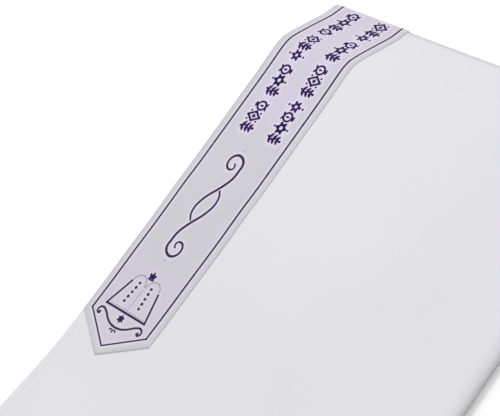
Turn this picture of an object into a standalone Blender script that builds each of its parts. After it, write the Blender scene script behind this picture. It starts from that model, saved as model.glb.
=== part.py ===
"""A tallit prayer shawl of plain white cloth, folded in thirds and then in half, lying flat on a table.

X runs along the neck band towards the fold end, Y towards the neck edge, Z up. Metres. The origin is under
the middle of the whole part, corner tassels included.
"""
import math

import bmesh
import bpy

COLLECTION = "tallit_prayer_shawl"

# Cloth sizes of the open shawl: 1.70 m along the shoulders, 1.20 m from neck edge to hem
PILE_WIDTH = 0.395
PILE_LENGTH = 0.838
FOLD_END_X = 0.56145
MIDDLE_Y = -0.01816
CLOTH_WALL = 0.0016
SEAM_GAP = 0.0003
BAND_WALL = 0.0010
BAND_WIDTH = 0.100
BAND_REACH = 0.378
BAND_POINT = 0.031

# The fold end is a tight roll, the near edge two soft ones, which draw back to the slit where they meet
END_RADIUS = 0.0040
END_TOP_ANGLE = math.radians(60)
NEAR_ROLL = 0.012
NEAR_TUCK = 0.0026
# The pile's top falls towards the near edge, by this share of its height above this height
NEAR_FALL = 0.92
NEAR_LOW = 0.016
FALL_FROM = 0.40
SLIT_HALF = 0.00035
END_SLIT_REACH = 0.0002
LIFT_EASE = 0.010

# Columns: distance back from the fold end, height of the pile's top there, both in mm
PILE_TOP = (
    (2.0, 7.5), (8.0, 10.2), (15.0, 13.6), (21.5, 17.6), (28.0, 22.0), (42.0, 31.2),
    (56.0, 39.8), (63.5, 43.4), (71.5, 45.1), (82.0, 45.6), (120.0, 45.7), (187.0, 46.1),
    (222.0, 45.9), (253.0, 44.1), (286.0, 40.8), (319.0, 36.8), (359.0, 31.8), (400.0, 27.4),
    (442.0, 25.0), (483.0, 26.0), (524.0, 29.2), (565.0, 31.6), (610.0, 31.4), (700.0, 29.0),
    (838.0, 27.6),
)
# Columns: distance back from the fold end, height where the near edge's two folds meet, both in mm
NEAR_SLIT = ((0.0, 4.0), (4.0, 4.1), (60.0, 4.8), (838.0, 4.8))
# Columns: distance back from the fold end, how far the neck edge and the near edge stray outwards, mm
EDGE_STRAY = (
    (0.0, 0.0, 0.0), (50.0, -3.6, 0.0), (100.0, -6.2, 0.0), (200.0, -7.2, 0.0),
    (253.0, -3.8, 0.0), (320.0, 5.5, 0.5), (400.0, 17.7, 0.0), (480.0, 29.2, -3.5),
    (560.0, 36.4, -7.0), (620.0, 33.5, -7.5), (720.0, 24.0, -4.0), (838.0, 17.0, 1.0),
)
# Distances back from the fold end at which the cloth has a row of corners, mm
ROWS = (
    4.0, 8.0, 12.0, 17.0, 22.0, 28.0, 35.0, 43.0, 51.0, 57.0, 61.0, 65.0, 69.0, 74.0, 82.0, 100.0,
    125.0, 155.0, 185.0, 207.0, 230.0, 253.0, 280.0, 310.0, 340.0, 362.0, 380.0, 395.0, 410.0,
    425.0, 442.0, 460.0, 490.0, 520.0, 550.0, 580.0, 610.0, 645.0, 690.0, 735.0, 780.0, 812.0, 838.0,
)
END_STEPS = 10
# Distances in from the neck edge at which the cloth has a column of corners, in metres
FLAT_COLUMNS = (0.0, 0.025, 0.050, 0.075, 0.100, 0.105, 0.110)
PLAIN_SHARES = (0.2, 0.4, 0.5, 0.6, 0.7, 0.8, 0.9, 1.0)
ROLL_STEPS = 6

# Columns: share of the height from, share to, how far that layer stops short, how round it is, mm.
# At the open end that is counted from the recess
NECK_SIDE = ((0.00, 0.50, 6.0, 3.4), (0.50, 1.00, 4.5, 3.4))
OPEN_END = ((0.00, 0.25, -2.0, 1.6), (0.25, 0.50, 2.0, 1.6), (0.50, 0.75, -2.5, 1.6), (0.75, 1.00, 0.5, 1.6))
OPEN_RECESS = 0.016
LAYER_STEPS = (0.0, 0.14, 0.5, 0.86)

# Columns: name, root in from the open end, root's Y from the middle, root's height or 0 for on top,
# turn sideways per metre, sway, all mm
TASSELS = (
    ("tassel_top_corner", 40.0, 176.0, 0.0, 170.0, 5.0),
    ("tassel_under_corner", 9.0, 130.0, 3.95, -120.0, -6.0),
    ("tassel_inner_upper", 11.5, -122.0, 12.5, 130.0, 6.0),
    ("tassel_inner_lower", 12.5, -166.0, 6.9, -60.0, -5.0),
)
CORD_RADIUS = 0.0022
KNOT_RADIUS = 0.0036
WOUND_LENGTH = 0.085
STRAND_LENGTH = 0.150
STRAND_HALF = 0.0006
STRAND_LANE = 0.0036
FLOOR_CLEAR = 0.0004
CORD_SIDES = 8


def table(rows, x, column=1):
    """Smooth value of a table's column at x mm, with no overshoot between its rows."""
    xs = [row[0] for row in rows]
    ys = [row[column] for row in rows]
    if x <= xs[0]:
        return ys[0]
    if x >= xs[-1]:
        return ys[-1]
    slopes = [(ys[i + 1] - ys[i]) / (xs[i + 1] - xs[i]) for i in range(len(xs) - 1)]
    tangents = [slopes[0]]
    for a, b in zip(slopes, slopes[1:]):
        tangents.append(0.0 if a * b <= 0 else 2 * a * b / (a + b))
    tangents.append(slopes[-1])
    i = max(k for k in range(len(xs) - 1) if xs[k] <= x)
    span = xs[i + 1] - xs[i]
    t = (x - xs[i]) / span
    return ((1 + 2 * t) * (1 - t) ** 2 * ys[i] + t * (1 - t) ** 2 * span * tangents[i]
            + t * t * (3 - 2 * t) * ys[i + 1] + t * t * (t - 1) * span * tangents[i + 1])


def ease(t):
    t = min(1.0, max(0.0, t))
    return t * t * (3 - 2 * t)


# Path along the cloth: u is 0 at the fold end's outermost line, positive on top, negative beneath
TOP_START = END_RADIUS * END_TOP_ANGLE
UNDER_START = -END_RADIUS * math.pi / 2


def u_top(back):
    """Path value on top, from the distance back from the fold end in metres."""
    return TOP_START + back - END_RADIUS * (1 - math.cos(END_TOP_ANGLE))


def u_under(back):
    return UNDER_START - (back - END_RADIUS)


def path(u):
    """Distance back, height, and the middle of the fold at path value u; share of the underside."""
    r = END_RADIUS
    if u > TOP_START:
        back = r * (1 - math.cos(END_TOP_ANGLE)) + u - TOP_START
        z, under = table(PILE_TOP, back * 1000) / 1000, 0.0
    elif u >= UNDER_START:
        angle = u / r
        back, z = r * (1 - math.cos(angle)), r * (1 + math.sin(angle))
        under = ease((END_TOP_ANGLE - angle) / (END_TOP_ANGLE + math.pi / 2))
    else:
        back, z, under = r + UNDER_START - u, 0.0, 1.0
    middle = max(back, r)
    return back, z, middle, table(NEAR_SLIT, middle * 1000) / 1000, under


def surface(u, column):
    """Outer face of the cloth. Column is metres in from the neck edge, then shares, then the roll."""
    kind, value = column
    back, z, mid_back, mid_z, under = path(u)
    neck = PILE_WIDTH / 2 + table(EDGE_STRAY, back * 1000, 1) / 1000
    near = -PILE_WIDTH / 2 - table(EDGE_STRAY, back * 1000, 2) / 1000
    tuck = NEAR_TUCK * ease((table(PILE_TOP, back * 1000) - 15) / 20)
    bent = max(0.0, value / (math.pi / 2) - 0.45) / 0.55 if kind == "roll" else 0.0
    near += tuck * (under + (1 - under) * bent * bent - 0.25)
    if under > 0:
        inward = value if kind == "in" else 1.0
        lift = under * (SEAM_GAP + BAND_WALL) * ease((BAND_WIDTH + LIFT_EASE - inward) / LIFT_EASE)
        lift *= ease((BAND_REACH + BAND_POINT + 2 * LIFT_EASE - back) / LIFT_EASE)
        z += lift
    across = {"in": 0.0, "share": value, "roll": 1.0}[kind]
    z -= (1 - under) * NEAR_FALL * max(0.0, z - NEAR_LOW) * ease((across - FALL_FROM) / (1 - FALL_FROM))
    reach = math.hypot(back - mid_back, z - mid_z)
    roll = min(NEAR_ROLL, 1.15 * reach)
    if kind == "in":
        y = neck - value
    elif kind == "share":
        start = neck - FLAT_COLUMNS[-1]
        y = start + (near + roll - start) * value
    else:
        y = near + roll - roll * math.sin(value)
        share = math.cos(value) + SLIT_HALF / reach * math.sin(value)
        back = mid_back + (back - mid_back) * share
        z = mid_z + (z - mid_z) * share
    return (FOLD_END_X - back, MIDDLE_Y + y, z)


def column_at(place):
    """Columns in order: 0 to 1 crosses the band's side, 1 to 2 the plain cloth, 2 to 3 the near roll."""
    if place <= 1:
        return "in", place * FLAT_COLUMNS[-1]
    if place <= 2:
        return "share", place - 1
    return "roll", (place - 2) * math.pi / 2


def skin(u, place, out):
    """A point of the cloth's outer face moved out along its own normal."""
    du, dp = 0.0002, 0.002
    p = surface(u, column_at(place))
    a, b = surface(u + du, column_at(place)), surface(u - du, column_at(place))
    lo, hi = max(0.0, place - dp), min(3.0, place + dp)
    if place in (1.0, 2.0):
        lo = place
    c, d = surface(u, column_at(hi)), surface(u, column_at(lo))
    e = [a[i] - b[i] for i in range(3)]
    f = [c[i] - d[i] for i in range(3)]
    n = [e[1] * f[2] - e[2] * f[1], e[2] * f[0] - e[0] * f[2], e[0] * f[1] - e[1] * f[0]]
    size = math.sqrt(sum(v * v for v in n))
    return tuple(p[i] + out * n[i] / size for i in range(3))


def path_rows():
    """Path values from the open end on top, round the fold end, to the open end beneath."""
    backs = [back / 1000 for back in ROWS]
    turn = END_TOP_ANGLE + math.pi / 2
    bend = [END_RADIUS * (END_TOP_ANGLE - turn * k / END_STEPS) for k in range(END_STEPS)]
    return [u_top(back) for back in reversed(backs)], bend, [u_under(back) for back in backs]


def places():
    flat = [value / FLAT_COLUMNS[-1] for value in FLAT_COLUMNS]
    roll = [2 + k / ROLL_STEPS for k in range(1, ROLL_STEPS + 1)]
    return flat + [1 + share for share in PLAIN_SHARES] + roll


def material(name, colour, roughness):
    made = bpy.data.materials.new(name)
    made.use_nodes = True
    shader = made.node_tree.nodes["Principled BSDF"]
    shader.inputs["Base Color"].default_value = (*colour, 1.0)
    shader.inputs["Roughness"].default_value = roughness
    return made


def add_object(name, mesh, surface_material):
    made = bpy.data.objects.new(name, mesh)
    made.data.materials.append(surface_material)
    home.objects.link(made)
    return made


def sheet(name, grid, wall, surface_material):
    """Cloth laid on a grid of points, given its wall on the inner side."""
    rows, columns = len(grid), len(grid[0])
    bm = bmesh.new()
    bmesh.ops.create_grid(bm, x_segments=columns - 1, y_segments=rows - 1, size=1.0)
    bm.verts.ensure_lookup_table()
    for corner, point in zip(bm.verts, (point for row in grid for point in row)):
        corner.co = point
    mesh = bpy.data.meshes.new(name)
    bm.to_mesh(mesh)
    bm.free()
    made = add_object(name, mesh, surface_material)
    thicken = made.modifiers.new("cloth_wall", "SOLIDIFY")
    thicken.thickness = wall
    thicken.offset = -1.0
    thicken.use_even_offset = True
    return made


for old in list(bpy.data.objects):
    bpy.data.objects.remove(old, do_unlink=True)
home = bpy.data.collections.new(COLLECTION)
bpy.context.scene.collection.children.link(home)

white_cloth = material("white_cloth", (0.78, 0.77, 0.80), 0.75)
inner_cloth = material("inner_cloth", (0.76, 0.75, 0.78), 0.8)
band_cloth = material("lilac_band_cloth", (0.70, 0.66, 0.74), 0.6)
cord_wool = material("white_cord", (0.80, 0.79, 0.80), 0.85)

# Outer cloth: top, round the fold end, back along the underside, its near edge rolled to a slit
top_rows, bend_rows, under_rows = path_rows()
all_rows = top_rows + bend_rows + under_rows
sheet("outer_cloth", [[skin(u, place, 0.0) for place in places()] for u in all_rows], CLOTH_WALL, white_cloth)


# Hidden layers: one rounded solid inside the outer cloth, with the layers' edges on two sides
def layer_edge(layers, share, height):
    """How far the wall lies outwards of the outer cloth's edge at a share of its height, metres."""
    for low, high, short, bulge in layers:
        if low <= share < high or (high == 1.0 and share >= low):
            v = 2 * (share - low) / (high - low) - 1
            depth = min(bulge / 1000, 0.22 * height)
            return depth * math.sqrt(max(0.0, 1 - v * v)) - short / 1000
    return 0.0


def layer_shares():
    shares = [(k + step) / 4 for k in range(4) for step in LAYER_STEPS] + [1.0]
    return shares


inset = -(CLOTH_WALL + SEAM_GAP)
core_places = [0.0, 0.45, 0.91, 0.955, 1.0] + [1 + share for share in PLAIN_SHARES]
core_places += [2 + k / ROLL_STEPS for k in range(1, ROLL_STEPS + 1)]
core_backs = [PILE_LENGTH - OPEN_RECESS] + [back / 1000 for back in reversed(ROWS[:-2])]
top = [[skin(u_top(back), place, inset) for place in core_places] for back in core_backs]
bend = [[skin(u, place, inset) for place in core_places] for u in bend_rows]
under = [[skin(u_under(back), place, inset) for place in core_places] for back in core_backs]
for upper, lower in zip(top, under):
    upper[-1] = lower[-1] = tuple((a + b) / 2 for a, b in zip(upper[-1], lower[-1]))
top[0][-1] = under[0][-1] = (top[0][-1][0], top[0][-1][1] - END_SLIT_REACH, top[0][-1][2])
tip = tuple((a + b) / 2 for a, b in zip(top[-1][-1], under[-1][-1]))
for row in bend:
    row[-1] = tip
shares = layer_shares()
points, index = [], {}


def vertex(point):
    key = tuple(round(value, 8) for value in point)
    if key not in index:
        index[key] = len(points)
        points.append(point)
    return index[key]


def wall_point(i, j, share):
    """A corner of the layered walls: column i along the pile, place j across it."""
    a, b = under[i][j], top[i][j]
    x, y, z = (a[k] + (b[k] - a[k]) * share for k in range(3))
    height = b[2] - a[2]
    if j == 0:
        y += layer_edge(NECK_SIDE, share, height)
    if i == 0:
        x -= layer_edge(OPEN_END, share, height) if j < len(core_places) - 1 else 0.0
    return (x, y, z)


count = len(top)
across = len(core_places)
upper_ids = [[vertex(wall_point(i, j, 1.0) if i == 0 or j == 0 else top[i][j]) for j in range(across)]
             for i in range(count)]
lower_ids = [[vertex(wall_point(i, j, 0.0) if i == 0 or j == 0 else under[i][j]) for j in range(across)]
             for i in range(count)]
bend_ids = []
for row in bend:
    edge = (row[0][0], row[0][1] + layer_edge(NECK_SIDE, 1.0, 0.004), row[0][2])
    bend_ids.append([vertex(edge)] + [vertex(p) for p in row[1:]])
strip = upper_ids + bend_ids + lower_ids[::-1]
faces = []
for first, second in zip(strip, strip[1:]):
    for j in range(across - 1):
        loop = [first[j], first[j + 1], second[j + 1], second[j]]
        loop = [v for k, v in enumerate(loop) if v != loop[k - 1]]
        if len(set(loop)) > 2:
            faces.append(tuple(loop))
neck_wall = [[vertex(wall_point(i, 0, share)) for share in shares] for i in range(count)]
end_wall = [[vertex(wall_point(0, j, share)) for share in shares] for j in range(across)]
for first, second in zip(neck_wall, neck_wall[1:]):
    for k in range(len(shares) - 1):
        faces.append((first[k], first[k + 1], second[k + 1], second[k]))
for first, second in zip(end_wall, end_wall[1:]):
    for k in range(len(shares) - 1):
        loop = [first[k], second[k], second[k + 1], first[k + 1]]
        loop = [v for n, v in enumerate(loop) if v != loop[n - 1]]
        if len(set(loop)) > 2:
            faces.append(tuple(loop))
hub = vertex((FOLD_END_X - END_RADIUS, top[-1][0][1] - 0.0055, END_RADIUS + 0.0006))
cap = neck_wall[-1] + [row[0] for row in bend_ids]
for a, b in zip(cap, cap[1:] + cap[:1]):
    faces.append((a, b, hub))
layers = bpy.data.meshes.new("folded_layers")
layers.from_pydata(points, [], faces)
add_object("folded_layers", layers, inner_cloth)

# Neck band: made from the outer cloth's points moved out, pointed at both ends, round the fold end
BAND_ACROSS = (0.0, 0.2, 0.4, 0.5, 0.6, 0.8, 1.0)
END_SHARES = (0.25, 0.5, 0.75, 1.0)
body_top = [u for u in top_rows if u < u_top(BAND_REACH - 0.02)]
body_under = [u for u in under_rows if u > u_under(BAND_REACH - 0.02)]


def band_row(u, out, stretch=0.0, side=1):
    """One row across the band, pushed towards its point by a share of the point's length."""
    row = []
    for share in BAND_ACROSS:
        reach = BAND_REACH + BAND_POINT * (1 - abs(2 * share - 1))
        end = u_top(reach) if side > 0 else u_under(reach)
        place = max(0.0005, share * BAND_WIDTH) / FLAT_COLUMNS[-1]
        row.append(skin(u + (end - u) * stretch, place, out))
    return row


def band_grid(out):
    rows = [band_row(body_top[0], out, share, 1) for share in reversed(END_SHARES)]
    rows += [band_row(u, out) for u in body_top + bend_rows + body_under]
    rows += [band_row(body_under[-1], out, share, -1) for share in END_SHARES]
    return rows


sheet("atarah_band", band_grid(SEAM_GAP + BAND_WALL), BAND_WALL, band_cloth)


# Corner tassels: a wound and knotted head lying over the open end, eight strands spread on the table
def tassel(name, root_in, root_y, root_z, turn, sway):
    end_x = FOLD_END_X - PILE_LENGTH
    turn, sway, root_y = turn / 1000, sway / 1000, MIDDLE_Y + root_y / 1000
    start = end_x + root_in / 1000
    on_top = root_z == 0.0
    high = (table(PILE_TOP, 838.0) / 1000 + SEAM_GAP + CORD_RADIUS + 0.0004) if on_top else root_z / 1000
    low = FLOOR_CLEAR + KNOT_RADIUS
    drop_from = end_x - 0.004
    drop = 0.042 if on_top else 0.030
    total_head = (start - end_x) + drop + WOUND_LENGTH

    def line(d):
        x = start - d
        fall = ease((drop_from - x) / drop)
        z = high + (low - high) * fall
        if on_top and x > drop_from:
            z = high + (table(PILE_TOP, (FOLD_END_X - x) * 1000) - table(PILE_TOP, 838.0)) / 1000
            z = max(z, high)
        past = max(0.0, d - (start - end_x))
        return (x, root_y + turn * past + sway * math.sin(past * 14.0), z)

    knots = [total_head - WOUND_LENGTH * share for share in (0.98, 0.74, 0.52, 0.28, 0.04)]
    stations = []
    edge = start - end_x
    for d in (0.0, edge * 0.5, edge, edge + drop * 0.25, edge + drop * 0.5, edge + drop * 0.75):
        stations.append((d, CORD_RADIUS))
    for knot in reversed(sorted(knots, reverse=True)):
        stations += [(knot - 0.0036, CORD_RADIUS), (knot - 0.0012, KNOT_RADIUS), (knot + 0.0012, KNOT_RADIUS),
                     (knot + 0.0036, CORD_RADIUS)]
    stations[-1:] = []
    pts, fcs, rings = [], [], []

    def ring(d, radius):
        x, y, z = line(d)
        here = []
        for k in range(CORD_SIDES):
            angle = 2 * math.pi * (k + 0.5) / CORD_SIDES
            here.append(len(pts))
            pts.append((x, y + radius * math.cos(angle), z + radius * math.sin(angle)))
        return here

    for d, radius in stations:
        rings.append(ring(d, radius))
    for first, second in zip(rings, rings[1:]):
        for k in range(CORD_SIDES):
            n = (k + 1) % CORD_SIDES
            fcs.append((first[k], second[k], second[n], first[n]))
    fcs.append(tuple(rings[0]))
    last, reach = rings[-1], stations[-1][0]
    inner = ring(reach, KNOT_RADIUS * 0.45)
    fcs.append(tuple(reversed(inner)))
    lanes = (2.5, 0.5, -2.5, -3.5, -1.5, -0.5, 1.5, 3.5)
    for k in range(CORD_SIDES):
        n = (k + 1) % CORD_SIDES
        previous = [last[k], last[n], inner[n], inner[k]]
        centre = [sum(pts[v][axis] for v in previous) / 4 for axis in range(3)]
        base = line(reach)
        length = STRAND_LENGTH * (1 + 0.05 * math.sin(2.4 * k + root_in))
        strand_steps = 8
        for step in range(1, strand_steps + 1):
            share = (step / strand_steps) ** 1.4
            d = reach + 0.004 + length * share
            x, y, z = line(d)
            settle = ease(share * 3.2)
            lane = lanes[k] * STRAND_LANE * (0.55 + 0.45 * share)
            wave = 0.0006 * math.sin(9 * share + 1.7 * k) * share
            y += (centre[1] - base[1]) * 1.3 * (1 - settle) + lane * settle + wave
            z = (base[2] + (centre[2] - base[2]) * 1.3) * (1 - settle) + (FLOOR_CLEAR + STRAND_HALF) * settle
            here = []
            for sy, sz in zip(*corner_signs(k)):
                here.append(len(pts))
                pts.append((x, y + sy * STRAND_HALF, z + sz * STRAND_HALF))
            for m in range(4):
                fcs.append((previous[m], here[m], here[(m + 1) % 4], previous[(m + 1) % 4]))
            previous = here
        fcs.append(tuple(reversed(previous)))
    mesh = bpy.data.meshes.new(name)
    mesh.from_pydata(pts, [], fcs)
    add_object(name, mesh, cord_wool)


def corner_signs(k):
    """Corners of a strand's square section, turned to match the head's wedge k."""
    middle = 2 * math.pi * (k + 1) / CORD_SIDES
    angles = [middle - math.pi / 4, middle + math.pi / 4, middle + 3 * math.pi / 4, middle - 3 * math.pi / 4]
    return [1.2 * math.cos(a) for a in angles], [1.2 * math.sin(a) for a in angles]


for row in TASSELS:
    tassel(*row)
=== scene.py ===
import math

import bpy
import numpy as np
from mathutils import Matrix, Vector, kdtree


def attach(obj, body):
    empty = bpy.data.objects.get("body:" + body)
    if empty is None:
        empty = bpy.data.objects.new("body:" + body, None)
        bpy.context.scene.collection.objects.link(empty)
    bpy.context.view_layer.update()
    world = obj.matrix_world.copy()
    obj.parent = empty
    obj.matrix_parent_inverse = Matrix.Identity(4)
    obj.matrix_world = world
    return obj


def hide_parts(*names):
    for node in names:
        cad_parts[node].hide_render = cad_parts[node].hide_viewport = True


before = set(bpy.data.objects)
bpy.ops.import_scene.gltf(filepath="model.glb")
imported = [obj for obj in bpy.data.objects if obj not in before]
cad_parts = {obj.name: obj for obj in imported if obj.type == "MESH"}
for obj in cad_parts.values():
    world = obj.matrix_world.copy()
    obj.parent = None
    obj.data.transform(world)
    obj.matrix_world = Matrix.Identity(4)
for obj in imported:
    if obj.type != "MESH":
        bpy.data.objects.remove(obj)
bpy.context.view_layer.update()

# Outer cloth. The shawl itself: one rectangle of fine white wool, 1.2 m by 1.7 m, folded in thirds and
# then in half. The third that shows runs from the open end along the top, turns round the fold end and
# comes back along the underside; its near edge is a soft roll. Both ends are hemmed and sewn down.
MM = 0.001
FOLD_END_X = 0.56145
MIDDLE_Y = -0.01816
PILE_WIDTH = 0.395
PILE_LENGTH = 0.838
END_RADIUS = 4.0 * MM
END_TOP_ANGLE = math.radians(60)
NEAR_ROLL = 12.0 * MM
SLIT_HALF = 0.35 * MM
NEAR_TUCK = 2.6 * MM
NEAR_FALL = 0.92
NEAR_LOW = 16.0 * MM
NEAR_FRONT = 2.45
FALL_FROM = 0.40
SEAM_GAP = 0.3 * MM
BAND_WALL = 1.0 * MM
BAND_FACE = 0.9
BAND_WIDTH = 0.100
BAND_REACH = 0.378
BAND_POINT = 0.031
BAND_ZONE = 0.110
LIFT_EASE = 0.010
CLOTH_THICK = 1.1 * MM

# Columns: distance back from the fold end, height of the pile's top there, mm
PILE_TOP = (
    (2.0, 7.5), (8.0, 10.2), (15.0, 13.6), (21.5, 17.6), (28.0, 22.0), (42.0, 31.2),
    (56.0, 39.8), (63.5, 43.4), (71.5, 45.1), (82.0, 45.6), (120.0, 45.7), (187.0, 46.1),
    (222.0, 45.9), (253.0, 44.1), (286.0, 40.8), (319.0, 36.8), (359.0, 31.8), (400.0, 27.4),
    (442.0, 25.0), (483.0, 26.0), (524.0, 29.2), (565.0, 31.6), (610.0, 31.4), (700.0, 29.0),
    (838.0, 27.6),
)
# Columns: distance back from the fold end, height of the slit in the near edge, mm
NEAR_SLIT = ((0.0, 4.0), (4.0, 4.1), (60.0, 4.8), (838.0, 4.8))
# Columns: distance back from the fold end, how far the neck edge and the near edge stray outwards, mm
EDGE_STRAY = (
    (0.0, 1.6, 0.0), (50.0, -2.4, 0.0), (100.0, -4.9, 0.0), (200.0, -5.8, 0.0),
    (253.0, -3.2, 0.0), (320.0, 5.5, 0.5), (400.0, 17.7, 0.0), (480.0, 29.2, -3.5),
    (560.0, 36.4, -7.0), (620.0, 33.5, -7.5), (720.0, 24.0, -4.0), (838.0, 17.0, 1.0),
)


def table(rows, back, column=1):
    """Smooth value of a table's column at a distance back, both in metres, with no overshoot between rows."""
    xs = np.array([row[0] for row in rows])
    ys = np.array([row[column] for row in rows])
    x = np.clip(back / MM, xs[0], xs[-1])
    spans = np.diff(xs)
    slopes = np.diff(ys) / spans
    a, b = slopes[:-1], slopes[1:]
    inner = np.where(a * b <= 0, 0.0, 2 * a * b / np.where(a + b == 0, 1.0, a + b))
    tangents = np.concatenate(([slopes[0]], inner, [slopes[-1]]))
    i = np.clip(np.searchsorted(xs, x, side="right") - 1, 0, len(spans) - 1)
    t = (x - xs[i]) / spans[i]
    value = ((1 + 2 * t) * (1 - t) ** 2 * ys[i] + t * (1 - t) ** 2 * spans[i] * tangents[i]
             + t * t * (3 - 2 * t) * ys[i + 1] + t * t * (t - 1) * spans[i] * tangents[i + 1])
    return value * MM


def ease(t):
    t = np.clip(t, 0.0, 1.0)
    return t * t * (3 - 2 * t)


# Along the cloth u is 0 at the fold end's outermost line, positive on top and negative beneath
TOP_START = END_RADIUS * END_TOP_ANGLE
UNDER_START = -END_RADIUS * math.pi / 2


def u_top(back):
    return TOP_START + back - END_RADIUS * (1 - math.cos(END_TOP_ANGLE))


def u_under(back):
    return UNDER_START - (back - END_RADIUS)


def on_grid(u, place):
    """Both as arrays of one shape."""
    return np.broadcast_arrays(np.asarray(u, float), np.asarray(place, float))


def surface(u, place):
    """Outer face of the cloth: place 0 to 1 is the band's side, to 2 plain cloth, to 3 the near roll."""
    u, place = on_grid(u, place)
    r = END_RADIUS
    on_top, beneath = u > TOP_START, u < UNDER_START
    angle = np.clip(u, UNDER_START, TOP_START) / r
    back = r * (1 - np.cos(angle))
    back = np.where(on_top, back + u - TOP_START, np.where(beneath, r + UNDER_START - u, back))
    top = table(PILE_TOP, back)
    z = np.where(on_top, top, np.where(beneath, 0.0, r * (1 + np.sin(angle))))
    under = ease((END_TOP_ANGLE - angle) / (END_TOP_ANGLE + math.pi / 2))
    middle = np.maximum(back, r)
    slit = table(NEAR_SLIT, middle)
    neck = PILE_WIDTH / 2 + table(EDGE_STRAY, back, 1)
    near = -PILE_WIDTH / 2 - table(EDGE_STRAY, back, 2)
    tuck = NEAR_TUCK * ease((top / MM - 15) / 20)
    bent = np.clip((place - NEAR_FRONT) / (3 - NEAR_FRONT), 0, 1)
    near = near + tuck * (under + (1 - under) * bent * bent - 0.25)
    inward = np.where(place <= 1, place * BAND_ZONE, 1.0)
    lift = under * (SEAM_GAP + BAND_WALL) * ease((BAND_WIDTH + LIFT_EASE - inward) / LIFT_EASE)
    z = z + lift * ease((BAND_REACH + BAND_POINT + 2 * LIFT_EASE - back) / LIFT_EASE)
    plain = ease((np.clip(place - 1, 0, 1) - FALL_FROM) / (1 - FALL_FROM))
    z = z - (1 - under) * NEAR_FALL * np.maximum(0.0, z - NEAR_LOW) * plain
    reach = np.hypot(back - middle, z - slit)
    roll = np.minimum(NEAR_ROLL, 1.15 * reach)
    start = neck - BAND_ZONE
    turn = np.clip(place - 2, 0, 1) * math.pi / 2
    plain_y = start + (near + roll - start) * np.clip(place - 1, 0, 1)
    y = np.where(place <= 1, neck - place * BAND_ZONE, plain_y)
    y = np.where(place > 2, near + roll - roll * np.sin(turn), y)
    share = np.where(place > 2, np.cos(turn) + SLIT_HALF / reach * np.sin(turn), 1.0)
    back = middle + (back - middle) * share
    z = slit + (z - slit) * share
    return np.stack([FOLD_END_X - back, MIDDLE_Y + y, z], axis=-1)


U_STEP = 0.2 * MM
PLACE_STEP = 0.002


def skin(u, place, out=0.0):
    """Points of the cloth's outer face, moved out along its normals."""
    u, place = on_grid(u, place)
    low = np.where((place == 1) | (place == 2), place, np.maximum(0.0, place - PLACE_STEP))
    along = surface(u + U_STEP, place) - surface(u - U_STEP, place)
    across = surface(u, np.minimum(3.0, place + PLACE_STEP)) - surface(u, low)
    normal = np.cross(along, across)
    normal /= np.linalg.norm(normal, axis=-1, keepdims=True)
    return surface(u, place) + np.asarray(out)[..., None] * normal


def flat_lengths(points):
    """Running length along the first axis of a grid of points."""
    steps = np.linalg.norm(np.diff(points, axis=0), axis=-1)
    return np.concatenate([np.zeros((1,) + steps.shape[1:]), np.cumsum(steps, axis=0)])


def flat_map(points):
    """Flat cloth coordinates of a grid of points, in metres along both its ways."""
    return np.stack([flat_lengths(points), flat_lengths(points.transpose(1, 0, 2)).T], axis=-1)


def add_object(name, data):
    """A new object in the scene for a mesh, a light or a camera."""
    made = bpy.data.objects.new(name, data)
    bpy.context.scene.collection.objects.link(made)
    return made


def new_mesh(name, points, edges, faces):
    mesh = bpy.data.meshes.new(name)
    mesh.from_pydata(points, edges, faces)
    return mesh


def give_wall(made, thick, even=False):
    """Thickens a sheet on its inner side."""
    wall = made.modifiers.new("wall", "SOLIDIFY")
    wall.thickness = thick
    wall.offset = -1.0
    wall.use_even_offset = even


def cloth_object(name, grid, thick, uv, even=True):
    """A sheet on a grid of points with its wall beneath, and a UV map in metres of flat cloth."""
    rows, columns = grid.shape[:2]
    ids = np.arange(rows * columns).reshape(rows, columns)
    quads = np.stack([ids[:-1, :-1], ids[:-1, 1:], ids[1:, 1:], ids[1:, :-1]], axis=-1).reshape(-1, 4)
    mesh = new_mesh(name, grid.reshape(-1, 3).tolist(), [], quads.tolist())
    layer = mesh.uv_layers.new(name="cloth")
    corners = np.empty(len(mesh.loops), dtype=np.int32)
    mesh.loops.foreach_get("vertex_index", corners)
    layer.data.foreach_set("uv", uv.reshape(-1, 2)[corners].astype(np.float32).ravel())
    mesh.shade_smooth()
    made = add_object(name, mesh)
    give_wall(made, thick, even)
    return made


def bake(made):
    """Turns an object and its modifiers into one plain mesh in place."""
    graph = bpy.context.evaluated_depsgraph_get()
    plain = bpy.data.meshes.new_from_object(made.evaluated_get(graph))
    made.modifiers.clear()
    made.data = plain
    return made


class Link:
    """A shader socket that takes part in sums."""

    def __init__(self, tree, socket):
        self.tree, self.socket = tree, socket

    def math(self, operation, *values):
        inputs = {f"n{k}": value for k, value in enumerate(values)}
        return add_node(self.tree, "ShaderNodeMath", {"operation": operation}, **inputs)

    def __add__(self, other):
        return self.math("ADD", self, other)

    def __sub__(self, other):
        return self.math("SUBTRACT", self, other)

    def __rsub__(self, other):
        return self.math("SUBTRACT", other, self)

    def __mul__(self, other):
        return self.math("MULTIPLY", self, other)

    __radd__, __rmul__ = __add__, __mul__

    def __abs__(self):
        return self.math("ABSOLUTE", self)

    def sin(self):
        return self.math("SINE", self)

    def smooth(self, low, high):
        return add_node(self.tree, "ShaderNodeMapRange", {"interpolation_type": "SMOOTHSTEP"},
                        Value=self, From_Min=low, From_Max=high)

    def __getitem__(self, name):
        return Link(self.tree, self.socket.node.outputs[name])


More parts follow.
